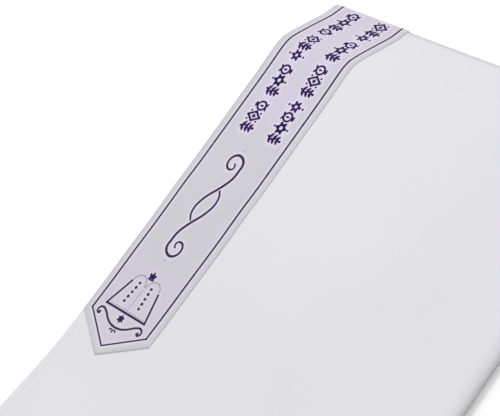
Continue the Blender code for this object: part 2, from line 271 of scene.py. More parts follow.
def add_node(tree, kind, settings=None, **inputs):
    """A node of any kind: settings first, then its sockets' values or links, n0 for the first socket."""
    made = tree.nodes.new(kind)
    for name, value in (settings or {}).items():
        setattr(made, name, value)
    for name, value in inputs.items():
        key = int(name[1:]) if name[0] == "n" and name[1:].isdigit() else name.replace("_", " ")
        socket = made.inputs[key]
        if isinstance(value, Link):
            tree.links.new(value.socket, socket)
        else:
            socket.default_value = value
    return Link(tree, next((s for s in made.outputs if s.enabled), None))


def mix_colour(tree, share, first, second):
    """First colour at 0, second at 1."""
    return add_node(tree, "ShaderNodeMix", {"data_type": "RGBA"}, n0=share, n6=first, n7=second)


def new_material(name, **constants):
    """A Principled material and its nodes; constants are the shader's own socket values."""
    made = bpy.data.materials.new(name)
    made.use_nodes = True
    for key, value in constants.items():
        made.node_tree.nodes["Principled BSDF"].inputs[key.replace("_", " ")].default_value = value
    return made, made.node_tree


def feed(tree, **links):
    """Leads what varies to the Principled shader's sockets."""
    shader = tree.nodes["Principled BSDF"]
    for key, link in links.items():
        tree.links.new(link.socket, shader.inputs[key.replace("_", " ")])


def cloth_uv(tree):
    return add_node(tree, "ShaderNodeUVMap", {"uv_map": "cloth"})


def object_place(tree):
    return add_node(tree, "ShaderNodeTexCoord")["Object"]


def noise(tree, place, scale, detail=2.0, **inputs):
    """Soft noise, about 0 to 1, at a place on the piece."""
    return add_node(tree, "ShaderNodeTexNoise", Vector=place, Scale=scale, Detail=detail, **inputs)


def weave(u, v, pitch):
    """Plain weave height, 0 to 1, from flat cloth coordinates: threads pass over each other in turn."""
    a, b = u * (math.pi / pitch), v * (math.pi / pitch)
    return 0.5 + 0.25 * (a.sin() * b.sin() + abs(a.sin()) * 0.6 - abs(b.sin()) * 0.6)


WHITE = (0.705, 0.696, 0.734, 1.0)
WHITE_LOW = (0.676, 0.666, 0.706, 1.0)
# Grey of the painted shade along the fold end's line and at the foot of the near edge
FOLD_SHADE_GREY = (0.52, 0.52, 0.525, 1.0)
WEAVE_PITCH = 0.9 * MM
WEAVE_DEPTH = 0.14 * MM
SLUB_STRETCH = (40.0, 900.0, 1.0)


def cloth_material(name, high, low, pitch, depth, roughness, sheen):
    """Woven cloth: thread relief, slight slubs and cloudy variation of tone."""
    made, tree = new_material(name, Sheen_Weight=sheen, Sheen_Roughness=0.45, Specular_IOR_Level=0.25)
    uv = cloth_uv(tree)
    parts = add_node(tree, "ShaderNodeSeparateXYZ", Vector=uv)
    slub = noise(tree, add_node(tree, "ShaderNodeMapping", Vector=uv, Scale=SLUB_STRETCH), 1.0)
    cloud = noise(tree, uv, 9.0, 3.0)
    threads = weave(parts["X"], parts["Y"], pitch)
    tone = (threads * 0.5 + slub * 0.35 + cloud * 0.5).smooth(0.35, 0.95)
    bump = add_node(tree, "ShaderNodeBump", Height=threads + slub * 0.7, Strength=0.8, Distance=depth)
    feed(tree, Base_Color=mix_colour(tree, tone, low, high), Normal=bump, Roughness=roughness + 0.1 * slub)
    return made


def keep(mesh, name, values, kind="FLOAT", domain="POINT"):
    """Keeps a value for each point or face of a mesh, for a material or a Geometry Nodes tree to read."""
    layer = mesh.attributes.new(name, kind, domain)
    values = np.asarray(values, np.float32).ravel()
    layer.data.foreach_set("value" if kind == "FLOAT" else "vector", values)


def tint(made, name, share, colour):
    """Works a further tone into a material where a point value asks for it."""
    tree = made.node_tree
    there = Link(tree, tree.nodes["Principled BSDF"].inputs["Base Color"].links[0].from_socket)
    amount = add_node(tree, "ShaderNodeAttribute", {"attribute_name": name})["Fac"]
    feed(tree, Base_Color=mix_colour(tree, amount * share, there, colour))


white_cloth = cloth_material("white_cloth", WHITE, WHITE_LOW, WEAVE_PITCH, WEAVE_DEPTH, 0.62, 0.25)
# Painted shade along the fold end's line and at the near edge's foot, where the shawl's point value asks for
# it
tint(white_cloth, "painted_fold_shade", 1.0, FOLD_SHADE_GREY)

# Columns: where a soft crease starts and ends, as distance back from the fold end and metres in from the
# neck edge, then its height above the cloth, below 0 for a trough, and its half width, mm
CREASES = (
    (0.120, 0.150, 0.330, 0.235, 0.7, 22.0), (0.075, 0.260, 0.205, 0.330, 0.6, 16.0),
    (0.230, 0.300, 0.400, 0.345, -0.6, 20.0), (0.300, 0.150, 0.430, 0.255, 0.7, 18.0),
    (0.420, 0.060, 0.520, 0.300, -0.9, 26.0), (0.470, 0.020, 0.640, 0.120, 0.8, 20.0),
    (0.560, 0.180, 0.760, 0.250, 0.7, 24.0), (0.640, 0.330, 0.800, 0.290, -0.7, 18.0),
    (0.690, 0.080, 0.830, 0.050, 0.6, 16.0), (0.030, 0.180, 0.030, 0.330, 0.5, 9.0),
)
HEM_WIDTH = 9.0 * MM
HEM_SEAM = 7.0 * MM
HEM_RAISE = 0.35 * MM
HEM_EDGE = 1.2 * MM
SEAM_SINK = 0.4 * MM
SEAM_HALF = 1.8 * MM
WAVE_HEIGHT = 0.45 * MM


def inward_of(place):
    """Rough distance in from the neck edge at a place across the cloth, metres."""
    return np.where(place <= 1, place * BAND_ZONE, BAND_ZONE + (place - 1) * (PILE_WIDTH - BAND_ZONE))


def back_of(u):
    return np.where(u > 0, u - TOP_START + END_RADIUS / 2, UNDER_START + END_RADIUS - u)


def cloth_relief(u, place):
    """How far the cloth stands out from its plain form: soft creases and hems on top, sunk seams beneath."""
    u, place = on_grid(u, place)
    back, inward = back_of(u), inward_of(place)
    out = np.zeros(u.shape)
    for back_0, in_0, back_1, in_1, height, half in CREASES:
        run, rise = back_1 - back_0, in_1 - in_0
        along = ((back - back_0) * run + (inward - in_0) * rise) / (run * run + rise * rise)
        nearest = np.clip(along, 0, 1)
        bow = 0.006 * np.sin(along * 5 + height * 9)
        off = np.hypot(back - back_0 - nearest * run, inward - in_0 - nearest * rise)
        ends = ease(along * 2.5 + 0.6) * ease((1 - along) * 2.5 + 0.6)
        out += height * MM * np.exp(-((off + bow) / (half * MM)) ** 2) * ends
    out += WAVE_HEIGHT * (np.sin(back * 21 + inward * 9) * np.sin(inward * 17 - back * 6))
    out *= ease((inward - BAND_ZONE + 0.004) / 0.03) * (place < 2.02) * (u > 0)
    out *= ease((back - 0.006) / 0.03) * ease((2.05 - place) / 0.06)
    beyond_band = ease((back - BAND_REACH - BAND_POINT - 0.01) / 0.02)
    side = ease((inward - BAND_ZONE) / 0.01)
    hem = ease((back - PILE_LENGTH + HEM_WIDTH) / HEM_EDGE)
    neck_hem = ease((HEM_WIDTH - inward) / HEM_EDGE) * beyond_band
    free = np.maximum(beyond_band, side)
    end_seam = np.exp(-((back - PILE_LENGTH + HEM_SEAM) / SEAM_HALF) ** 2)
    neck_seam = np.exp(-((inward - HEM_SEAM) / SEAM_HALF) ** 2) * beyond_band
    sunk = SEAM_SINK * np.maximum(end_seam, neck_seam) * free
    return out + np.where(u > 0, HEM_RAISE * np.maximum(hem, neck_hem) * free, -sunk)


def cloth_skin(u, place, out=0.0):
    """Points on the outer cloth as it shows, with its relief."""
    return skin(u, place, cloth_relief(u, place) + out)


# Rows are closer together where the cloth bends
row_backs = np.concatenate([np.linspace(4, 100, 42), np.linspace(104, 260, 34), np.linspace(265, 826, 96),
                            np.linspace(828, 838, 6)]) * MM
turn_angles = np.linspace(END_TOP_ANGLE, -math.pi / 2, 18)[:-1]
row_u = np.concatenate([u_top(row_backs[::-1]), END_RADIUS * turn_angles, u_under(row_backs)])
column_places = np.concatenate([np.linspace(0, 0.1, 7), np.linspace(0.14, 1, 20), np.linspace(1, 2, 40)[1:],
                                np.linspace(2, 3, 13)[1:]])
cloth_u, cloth_place = np.meshgrid(row_u, column_places, indexing="ij")
cloth_points = cloth_skin(cloth_u, cloth_place)
outer_cloth = cloth_object("shawl_cloth", cloth_points, CLOTH_THICK, flat_map(cloth_points))
# Painted shade: the cloth is painted a little greyer along the line of the fold end, where it curves away
# from the light, and at the foot of the near edge, where it meets the ground
end_fold_shade = ease((7.0 * MM - np.abs(cloth_u)) / (3.0 * MM)) * 0.85
keep(outer_cloth.data, "painted_fold_shade", np.maximum(end_fold_shade, ease((cloth_place - 2.55) / 0.3)))
bake(outer_cloth)
outer_cloth.data.materials.append(white_cloth)
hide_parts("outer_cloth")
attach(outer_cloth, "root")

# Hidden thirds. The same cloth goes on from the near edge: each half of the pile holds one soft roll,
# a second third that turns back at the neck side and a last third that comes back towards the near edge.
INNER_BACKS = np.concatenate([np.linspace(9, 100, 34), np.linspace(106, 826, 110)]) * MM
UPPER_START = 16.0 * MM
LOWER_START = 21.0 * MM
INNER_GAP = 0.8 * MM
INNER_RIPPLE = 0.35 * MM
# Columns: name, half of the pile, 1 for upper, stop short of the neck edge in metres, where its waves start
HIDDEN_ROLLS = (("hidden_roll_upper", 1, 0.004, 0.3), ("hidden_roll_lower", -1, 0.006, 2.1))


def inner_profile(back, half, inset_neck, wave):
    """One hidden roll's cross-sections for rows of distance back: upper half 1, lower half -1."""
    row = back[:, None]
    neck = surface(u_top(row), 0.0)[..., 1]
    near = surface(u_top(row), NEAR_FRONT)[..., 1]
    slit = table(NEAR_SLIT, row)
    low_z = surface(u_under(row), 0.5)[..., 2] + CLOTH_THICK + 0.5 * MM
    thick = surface(u_top(row), 0.5)[..., 2] - low_z
    bulge = 0.4 * thick
    turn_at = neck - inset_neck - 0.003 * np.sin(row * 19 + wave) - bulge
    share = np.linspace(0, 1, 24)[None, :]
    turn = np.linspace(math.pi / 2, -math.pi / 2, 15)[None, 1:-1]
    y = np.concatenate([near + UPPER_START + (turn_at - near - UPPER_START) * share,
                        turn_at + bulge * np.cos(turn),
                        turn_at + (near + LOWER_START - turn_at) * share], axis=1)
    place = 1 + np.clip((neck - y - BAND_ZONE) / (neck - BAND_ZONE - near - NEAR_ROLL), 0, 1)
    top_z = cloth_skin(u_top(row), place)[..., 2] - CLOTH_THICK - 0.9 * MM
    middle = slit + (low_z + (top_z - low_z) * 0.48 - slit) * ease((y - near) / 0.12)
    outer_z = top_z if half > 0 else low_z + 0 * y
    inner_z = middle + half * INNER_GAP
    ripple = INNER_RIPPLE * np.sin(row * 31 + wave) * np.sin(y * 26 + wave)
    inner_z = inner_z + half * np.abs(ripple) + 0.18 * (outer_z - inner_z) * ease((y - near - 0.02) / 0.1)
    part = np.concatenate([np.ones_like(share), (np.sin(turn) + 1) / 2, np.zeros_like(share)], axis=1)
    z = inner_z + (outer_z - inner_z) * part
    return np.stack([FOLD_END_X - row + 0 * y, y, z], axis=-1)


for roll_name, half, inset_neck, wave in HIDDEN_ROLLS:
    grid = inner_profile(INNER_BACKS[::-1], half, inset_neck, wave)
    if half > 0:
        grid = grid[:, ::-1]
    roll = bake(cloth_object(roll_name, grid, CLOTH_THICK, flat_map(grid), even=False))
    roll.data.materials.append(white_cloth)
    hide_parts("folded_layers")
    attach(roll, "root")

# Neck band (atarah). A strip of smooth satin-like cloth, 84 cm by 10 cm with a point at both ends, sewn
# flush along the neck edge, half on top and half on the underside, with a narrow turned-in margin.
BAND_ROWS_TOP = np.concatenate([np.linspace(4, 100, 62), np.linspace(101.7, 340, 140)]) * MM
BAND_PLACES = np.concatenate([np.linspace(0, 0.024, 4), np.linspace(0.035, 0.965, 54),
                              np.linspace(0.976, 1, 4)])
POINT_SHARES = np.linspace(0, 1, 26)[1:]
EDGE_ROUND = 2.4 * MM


def band_grid():
    """Path values and places of the band's grid: its ends are drawn out into points."""
    body = np.concatenate([u_top(BAND_ROWS_TOP[::-1]), END_RADIUS * turn_angles, u_under(BAND_ROWS_TOP)])
    reach = BAND_REACH + BAND_POINT * (1 - np.abs(2 * BAND_PLACES - 1))
    first = body[0] + (u_top(reach) - body[0]) * POINT_SHARES[::-1, None]
    last = body[-1] + (u_under(reach) - body[-1]) * POINT_SHARES[:, None]
    u = np.concatenate([first, np.repeat(body[:, None], len(BAND_PLACES), axis=1), last])
    places = np.broadcast_to(np.maximum(BAND_PLACES * BAND_WIDTH, 0.0004) / BAND_ZONE, u.shape)
    return u, places


band_u, band_place = band_grid()
band_inward = band_place * BAND_ZONE
# The margin outside the printed border is turned in; its outermost 2.4 mm rounds down to the shawl
side_near = np.minimum(band_inward, BAND_WIDTH - band_inward)
slanted_end = u_top(BAND_REACH + BAND_POINT) - BAND_POINT * np.abs(2 * band_inward / BAND_WIDTH - 1)
edge_near = np.minimum(side_near, np.maximum(0.0, 0.85 * (slanted_end - np.abs(band_u))))
band_out = SEAM_GAP + BAND_WALL * (BAND_FACE - 0.7 * (1 - ease(edge_near / EDGE_ROUND)) ** 1.5)
band_points = skin(band_u, band_place, band_out)
band_length = flat_lengths(band_points)
band_uv = np.stack([band_length, band_inward], axis=-1)
neck_band = cloth_object("neck_band", band_points, BAND_WALL * 0.8, band_uv)
bake(neck_band)
LILAC = (0.560, 0.552, 0.598, 1.0)
LILAC_LOW = (0.530, 0.524, 0.570, 1.0)
BLOOM = (0.595, 0.525, 0.665, 1.0)
HALO = (0.690, 0.635, 0.780, 1.0)
RIM = (0.34, 0.34, 0.33, 1.0)
band_cloth = cloth_material("band_cloth", LILAC, LILAC_LOW, 0.5 * MM, 0.05 * MM, 0.42, 0.1)
band_tree = band_cloth.node_tree
patch = noise(band_tree, cloth_uv(band_tree), 70.0, 3.0)
tint(band_cloth, "bloom", patch * 2.2 - 0.6, BLOOM)
tint(band_cloth, "halo", 0.7, HALO)
tint(band_cloth, "rim", 1.0, RIM)
neck_band.data.materials.append(band_cloth)
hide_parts("atarah_band")
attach(neck_band, "root")

# Printing on the band. Dark purple border lines and traditional ornament, screen printed: an emblem of two
# tablets with a star and a scroll at each pointed end, a long double scroll, and two rows of sprigs, fruit,
# rosettes, lozenges and stars towards the middle. It is a thin film on the band, the same on both halves.
band_line = np.linspace(u_under(BAND_REACH + BAND_POINT), u_top(BAND_REACH + BAND_POINT), 4000)
band_run = flat_lengths(skin(band_line, 0.5, SEAM_GAP + BAND_WALL))
band_run -= np.interp(0.0, band_line, band_run)


def run_of(back):
    """Length along the band from the fold end, for a distance back on top, in metres."""
    return float(np.interp(u_top(back), band_line, band_run))


film = {"points": [], "faces": [], "tone": [], "flat": []}
FILM_OUT = SEAM_GAP + BAND_WALL * BAND_FACE + 0.05 * MM
FILM_WALL = 0.09 * MM
DARK, EMBLEM_INK, SCROLL_INK, LINE_INK, SOFT = 0.0, 0.3, 0.42, 0.5, 1.0


def lay(points, faces, tone):
    """Lays flat shapes on both halves of the band; points are run and distance in, in metres."""
    points = np.asarray(points, float)
    film["flat"] += points.tolist() if tone < SOFT else []
    for side in (1, -1):
        start = len(film["points"])
        u = np.interp(side * points[:, 0], band_run, band_line)
        film["points"] += skin(u, points[:, 1] / BAND_ZONE, FILM_OUT - 0.02 * MM * tone).tolist()
        for face in faces:
            ordered = face if side > 0 else face[::-1]
            film["faces"].append([start + k for k in ordered])
            film["tone"].append(tone)


def curve_through(points, steps=8):
    """Smooth line through a few points."""
    p = np.asarray(points, float)
    p = np.vstack([2 * p[0] - p[1], p, 2 * p[-1] - p[-2]])
    t = np.linspace(0, 1, steps, endpoint=False)[:, None]
    out = []
    for a, b, c, d in zip(p, p[1:], p[2:], p[3:]):
        square, cube = 2 * a - 5 * b + 4 * c - d, 3 * b - a - 3 * c + d
        out.append(0.5 * (2 * b + (c - a) * t + square * t ** 2 + cube * t ** 3))
    return np.vstack(out + [p[-2:-1]])


def stroke(points, width, tone=DARK, taper=0.0):
    """A line of even or tapering width; points in metres."""
    p = np.asarray(points, float)
    d = np.gradient(p, axis=0)
    d /= np.linalg.norm(d, axis=1, keepdims=True)
    n = np.stack([-d[:, 1], d[:, 0]], axis=1)
    share = np.linspace(0, 1, len(p))
    half = width / 2 * (1 - taper * np.abs(2 * share - 1) ** 2)[:, None]
    k = len(p)
    lay(np.vstack([p + n * half, p - n * half]), [(i, i + 1, k + i + 1, k + i) for i in range(k - 1)], tone)


def straight(corners, width, tone=DARK):
    """A line with sharp corners, stepped finely enough to follow the folds."""
    p = np.asarray(corners, float)
    for a, b in zip(p, p[1:]):
        long = np.linalg.norm(b - a)
        d = (b - a) / long * width * 0.5
        steps = max(2, int(long / 0.0014) + 1)
        stroke([a - d + (b - a + 2 * d) * t for t in np.linspace(0, 1, steps)], width, tone)


def blob(centre, outline, tone=DARK):
    """A filled shape; its outline is given round the centre."""
    k = len(outline)
    points = [centre] + [(centre[0] + x, centre[1] + y) for x, y in outline]
    lay(points, [(0, 1 + i, 1 + (i + 1) % k) for i in range(k)], tone)


def away(x, y, angle, distance):
    """The point a distance away in a direction."""
    return x + distance * math.cos(angle), y + distance * math.sin(angle)


def dot(centre, radius, tone=DARK):
    blob(centre, [away(0, 0, math.pi * k / 6, radius) for k in range(12)], tone)


def star(centre, radius, points, inner):
    """A filled star; inner is how far out its notches are, as a share of the radius."""
    blob(centre, [away(0, 0, math.pi * k / points, radius * (inner if k % 2 else 1.0))
                  for k in range(points * 2)])


def leaf(root, angle, length, width, tone=DARK):
    """A pointed leaf growing from its root."""
    c, s = math.cos(angle), math.sin(angle)
    outline = []
    for k in range(12):
        t = math.pi * k / 6
        along = length / 2 * math.cos(t)
        off = width / 2 * math.sin(t) * (1 - 0.45 * math.cos(t))
        outline.append((along * c - off * s, along * s + off * c))
    blob(away(*root, angle, length / 2), outline, tone)


# Border line all round the printed field, a little further from the neck edge at the fold end
BORDER_IN = 9.1 * MM
BORDER_OUT = 91.2 * MM
BORDER_REACH = 0.3725
BORDER_TIP = 0.3986
BAND_MIDDLE = BAND_WIDTH / 2
corner, tip = run_of(BORDER_REACH), run_of(BORDER_TIP)
for edge, halfway, at_fold in ((BORDER_IN, 1.0, 1.5), (BORDER_OUT, 0.5, 0.8)):
    straight([(0.0, edge + at_fold * MM), (run_of(0.19), edge + halfway * MM), (corner, edge)],
             2.1 * MM, LINE_INK)
straight([(corner, BORDER_IN), (tip, BAND_MIDDLE), (corner, BORDER_OUT)], 1.6 * MM, LINE_INK)

# Emblem: two round-topped tablets with five plain dots each, a small crown of leaves above
base, head, high = run_of(0.3622), run_of(0.3340), run_of(0.3245)
straight([(head, 30.8 * MM), (base, 20.7 * MM), (base, 77.9 * MM), (head, 70.0 * MM)], 2.2 * MM, EMBLEM_INK)
straight([(base - 2.2 * MM, 25.0 * MM), (base - 2.2 * MM, 73.5 * MM)], 0.5 * MM, SOFT)
for low, top in ((31.5, 49.0), (51.0, 69.3)):
    middle = (low + top) / 2 * MM
    arch = [(head + (high - head) * math.sin(t), middle - (top - low) / 2 * MM * math.cos(t))
            for t in np.linspace(0, math.pi, 15)]
    stroke(arch, 0.9 * MM, SOFT)
straight([(head + 3 * MM, 49.8 * MM), (base - 3 * MM, 49.3 * MM)], 0.5 * MM, SOFT)
for row in range(5):
    dot_run = run_of(0.3530) - row * 5.3 * MM
    for side_in, lean in ((38.2, 0.75), (60.0, -0.45)):
        dot((dot_run, (side_in + lean * row) * MM), (1.6 + 0.15 * (row % 2)) * MM, EMBLEM_INK)
        dot((dot_run, (side_in + lean * row + 2.4) * MM), 0.5 * MM, SOFT)
crown = run_of(0.3200)
for angle, size in ((math.pi, 7.4), (math.pi - 0.75, 6.6), (math.pi + 0.75, 6.6)):
    leaf((crown + 4.0 * MM, BAND_MIDDLE), angle, size * MM, 3.6 * MM)
stroke([(crown + 4.6 * MM, 45.8 * MM), (crown + 5.2 * MM, BAND_MIDDLE), (crown + 4.6 * MM, 54.2 * MM)],
       1.5 * MM)

# Star over a scroll with curled ends, and a three-leaf mark beneath
star((run_of(0.3690), 49.2 * MM), 4.9 * MM, 6, 0.6)
scroll_run, scroll_in = run_of(0.3600), 49.4
# Columns: run of the scroll's line beyond its emblem's base, distance from its middle, mm
SCROLL = ((18.6, 0.0), (17.6, 7.5), (14.6, 14.5), (10.2, 21.0), (7.6, 27.0), (9.0, 31.4), (12.8, 32.2),
          (14.6, 29.4), (12.6, 27.2))
for side in (-1, 1):
    line = [(scroll_run + x * MM, (scroll_in + side * y) * MM) for x, y in curve_through(SCROLL)]
    stroke(line, 2.1 * MM, LINE_INK)
    dot((scroll_run + 13.2 * MM, (scroll_in + side * 28.6) * MM), 1.7 * MM, EMBLEM_INK)
    leaf((scroll_run + 20.6 * MM, (scroll_in + side * 1.6) * MM), side * 0.95, 4.4 * MM, 2.0 * MM, EMBLEM_INK)
leaf((scroll_run + 20.8 * MM, scroll_in * MM), 0.0, 4.4 * MM, 2.1 * MM, EMBLEM_INK)

# Double scroll: two curved lines that cross, each with a curled end
DOUBLE_SCROLL_AT = run_of(0.2426)
CURL_FROM, CURL_TO = 238, -96
for side in (1, -1):
    curl = []
    for degrees in np.linspace(CURL_FROM, CURL_TO, 40):
        opened = 1 - math.exp(-(CURL_FROM - degrees) / 34)
        radius = 8.6 * opened + 2.0 * float(ease((-20 - degrees) / 90))
        curl.append(away(47.4, 1.0, math.radians(degrees), radius))
    tail = curve_through([curl[-1], (33.0, -8.4), (20.5, -2.4), (8.5, 5.4), (-3.0, 9.8), (-12.2, 8.8),
                          (-18.5, 4.2)])
    line = np.array(curl + tail[1:].tolist()) * side * MM
    stroke(line + (DOUBLE_SCROLL_AT, BAND_MIDDLE), 2.8 * MM, SCROLL_INK, taper=0.35)
    tip_at = (DOUBLE_SCROLL_AT + side * 60.5 * MM, BAND_MIDDLE)
    leaf(tip_at, 0.0 if side > 0 else math.pi, 3.2 * MM, 0.9 * MM, SOFT)


# Rows of small bold ornament in groups, each motif about 10 mm along the band and 16 mm across it
BOLD = 1.17 * MM


def sprig(x, y, flip):
    """A curved stem across the band with three pairs of leaves and a bud."""
    stem = curve_through([(-7.2, -1.2), (-2.5, 0.9), (2.5, -0.7), (6.4, 0.5)])
    stroke([(x + flip * b * BOLD, y + a * BOLD) for a, b in stem], 1.6 * BOLD)
    for at, long in ((-4.8, 5.6), (-0.6, 5.4), (3.4, 4.8)):
        for side in (1, -1):
            leaf((x, y + at * BOLD), math.pi / 2 - side * 1.05, long * BOLD, 2.8 * BOLD)
    dot((x + 0.4 * flip * BOLD, y + 7.4 * BOLD), 1.25 * BOLD)


def rosette(x, y, flip):
    """Six petals round an open eye, with a dot at either side."""
    for k in range(6):
        angle = math.pi * (k / 3 + 0.5)
        leaf(away(x, y, angle, 1.2 * BOLD), angle, 4.7 * BOLD, 3.0 * BOLD)
    for off in (-7.8, 7.8):
        dot((x, y + off * BOLD), 1.1 * BOLD)


def pomegranate(x, y, flip):
    """A round fruit drawn in outline with one long seed, its crown, and a leaf at each side of the stalk."""
    ring = [(x + 3.9 * BOLD * math.cos(t), y + (4.2 * math.sin(t) - 0.8 * flip) * BOLD)
            for t in np.linspace(0, 2 * math.pi, 25)]
    stroke(ring, 1.8 * BOLD)
    leaf((x, y - flip * 2.8 * BOLD), flip * math.pi / 2, 4.0 * BOLD, 1.9 * BOLD)
    for turn in (-0.55, 0.0, 0.55):
        leaf((x, y + flip * 3.2 * BOLD), flip * math.pi / 2 + turn, 4.2 * BOLD, 1.9 * BOLD)
    for turn in (-0.95, 0.95):
        leaf((x, y - flip * 4.6 * BOLD), -flip * math.pi / 2 + turn, 4.6 * BOLD, 2.4 * BOLD)


def lozenge(x, y, flip):
    """A diamond in outline with a four-pointed star in it and dots at its corners."""
    straight([(x - 4.3 * BOLD, y), (x, y + 6.6 * BOLD), (x + 4.3 * BOLD, y), (x, y - 6.6 * BOLD),
              (x - 4.3 * BOLD, y)], 1.9 * BOLD)
    star((x, y), 2.6 * BOLD, 4, 0.5)
    for a, b in ((-4.0, -5.4), (4.0, 5.4), (-4.0, 5.4), (4.0, -5.4)):
        dot((x + a * BOLD, y + b * BOLD), 1.0 * BOLD)


def six_star(x, y, flip):
    """Two crossed triangles in outline."""
    for side in (1, -1):
        angles = (math.pi / 2, math.pi * 7 / 6, math.pi * 11 / 6, math.pi / 2)
        straight([away(x, y, a, side * 5.0 * BOLD) for a in angles], 1.7 * BOLD)
        dot((x, y + side * 7.4 * BOLD), 1.05 * BOLD)


MOTIFS = (sprig, lozenge, pomegranate, sprig, six_star, pomegranate, rosette)
MOTIFS_IN_ROW = 13
ROW_START = run_of(0.160) - 1.0 * MM
ROW_STEP = 12.1 * MM
GROUP_GAP = 5.0 * MM
for row, (inward, gaps) in enumerate(((32.5 * MM, (3, 6, 9)), (71.0 * MM, (4, 7, 10)))):
    for k in range(MOTIFS_IN_ROW):
        x = ROW_START - k * ROW_STEP - sum(k >= gap for gap in gaps) * GROUP_GAP
        MOTIFS[(k + 3 * row) % len(MOTIFS)](x, inward, 1 if (k + row) % 2 else -1)

film_mesh = new_mesh("band_print", film["points"], [], film["faces"])
keep(film_mesh, "tone", film["tone"], domain="FACE")
band_print = add_object("band_print", film_mesh)
give_wall(band_print, FILM_WALL)
bake(band_print)
PURPLE = (0.026, 0.003, 0.078, 1.0)
GREY_PURPLE = (0.030, 0.025, 0.046, 1.0)
FAINT_PURPLE = (0.30, 0.27, 0.37, 1.0)
WORN_PURPLE = (0.16, 0.10, 0.26, 1.0)
ink, ink_tree = new_material("purple_print", Specular_IOR_Level=0.08)
tone = add_node(ink_tree, "ShaderNodeAttribute", {"attribute_name": "tone"})["Fac"]
worn = noise(ink_tree, object_place(ink_tree), 900.0)
lined = mix_colour(ink_tree, tone * 2.0, PURPLE, GREY_PURPLE)
ink_colour = mix_colour(ink_tree, tone * 2.0 - 1.0, lined, FAINT_PURPLE)
worn_colour = mix_colour(ink_tree, worn * 0.12, ink_colour, WORN_PURPLE)
feed(ink_tree, Base_Color=worn_colour, Roughness=0.55 + 0.15 * worn)
band_print.data.materials.append(ink)
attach(band_print, "root")

# The dye has bled into the band: it is paler and more lilac close to the printing, and in faint patches
# round the rows and the emblem. A dark grey line is painted along the outermost 2.5 mm of the neck edge,
# strongest near the fold end.
ink_places = kdtree.KDTree(len(film["flat"]))
for k, (run_at, inward_at) in enumerate(film["flat"]):
    ink_places.insert((run_at, inward_at, 0.0), k)
ink_places.balance()
run = np.abs(band_length - band_length[np.abs(band_u[:, 0]).argmin()])
gap = np.array([ink_places.find((a, b, 0.0))[2] for a, b in zip(run.ravel(), band_inward.ravel())])
gap = gap.reshape(run.shape)
rows_bloom = ease((0.172 - run) / 0.015) * ease((36 * MM - np.abs(band_inward - 51 * MM)) / (8 * MM))
emblem = ease((run - 0.315) / 0.02) * ease((edge_near - 9 * MM) / (3 * MM))
# Dark grey line painted along the neck edge, strongest towards the fold end
rim = ease((2.5 * MM - band_inward) / (1.0 * MM)) * (0.6 + 0.4 * ease((0.26 - run) / 0.12))
for name, value in (("bloom", np.maximum(rows_bloom, 0.5 * emblem)),
                    ("halo", ease((3.4 * MM - gap) / (2.2 * MM)) * (1 - 0.45 * emblem)), ("rim", rim)):
    keep(neck_band.data, name, [value, value])

# Hems and sewing. The open ends and the bare neck edge are turned in and sewn with one row of lockstitch;
# the band is sewn down all round, just inside its edge. Each row is one line, a stitch about every 3 mm.
def geometry_tree(name, sizes):
    """A new Geometry Nodes tree: its named sizes, its object's line, and the ways along it and up from it."""
    tree = bpy.data.node_groups.new(name, "GeometryNodeTree")
    tree.interface.new_socket(name="Geometry", in_out="INPUT", socket_type="NodeSocketGeometry")
    for size in sizes:
        tree.interface.new_socket(name=size, in_out="INPUT", socket_type="NodeSocketFloat")
    tree.interface.new_socket(name="Geometry", in_out="OUTPUT", socket_type="NodeSocketGeometry")
    given = add_node(tree, "NodeGroupInput")
    line = add_node(tree, "GeometryNodeMeshToCurve", n0=given["Geometry"])
    return tree, given, line, add_node(tree, "GeometryNodeInputTangent"), kept(tree, "up", "FLOAT_VECTOR")


def kept(tree, name, kind):
    """A value that the line's points keep."""
    return add_node(tree, "GeometryNodeInputNamedAttribute", {"data_type": kind}, Name=name)


def circle(tree, sides, radius):
    return add_node(tree, "GeometryNodeCurvePrimitiveCircle", Resolution=sides, Radius=radius)


def set_out(tree, material, **inputs):
    """Ends a tree: one instance on each point of the line, all made real, then their material."""
    placed = add_node(tree, "GeometryNodeInstanceOnPoints", **inputs)
    real = add_node(tree, "GeometryNodeRealizeInstances", Geometry=placed)
    dressed = add_node(tree, "GeometryNodeSetMaterial", Geometry=real, Material=material)
    add_node(tree, "NodeGroupOutput", n0=dressed)


def grow(name, line, tree, **sizes):
    """Runs a tree on a line object and keeps the result as a plain mesh."""
    made = add_object(name, line)
    nodes = made.modifiers.new("sewing", "NODES")
    nodes.node_group = tree
    for item in tree.interface.items_tree:
        key = item.name.replace(" ", "_").lower()
        if item.in_out == "INPUT" and key in sizes:
            nodes[item.identifier] = sizes[key]
    return bake(made)


def line_mesh(name, paths, ups, closed=False, sizes=None):
    """Lines through points, each point with the way up there and a size."""
    points, edges = [], []
    for path in paths:
        start = len(points)
        points += [tuple(q) for q in path]
        edges += [(start + k, start + k + 1) for k in range(len(path) - 1)]
        if closed:
            edges.append((len(points) - 1, start))
    mesh = new_mesh(name, points, edges, [])
    keep(mesh, "up", np.concatenate(ups), "FLOAT_VECTOR")
    keep(mesh, "size", sizes or [1.0] * len(points))
    return mesh


THREAD_LOW = (0.66, 0.65, 0.69, 1.0)
THREAD_HIGH = (0.76, 0.75, 0.78, 1.0)
thread_white, thread_tree = new_material("thread_white", Specular_IOR_Level=0.3)
fuzz = noise(thread_tree, object_place(thread_tree), 2400.0)
fuzz_bump = add_node(thread_tree, "ShaderNodeBump", Height=fuzz, Strength=0.3, Distance=0.05 * MM)
feed(thread_tree, Base_Color=mix_colour(thread_tree, fuzz, THREAD_LOW, THREAD_HIGH),
     Roughness=0.55 + 0.2 * fuzz, Normal=fuzz_bump)

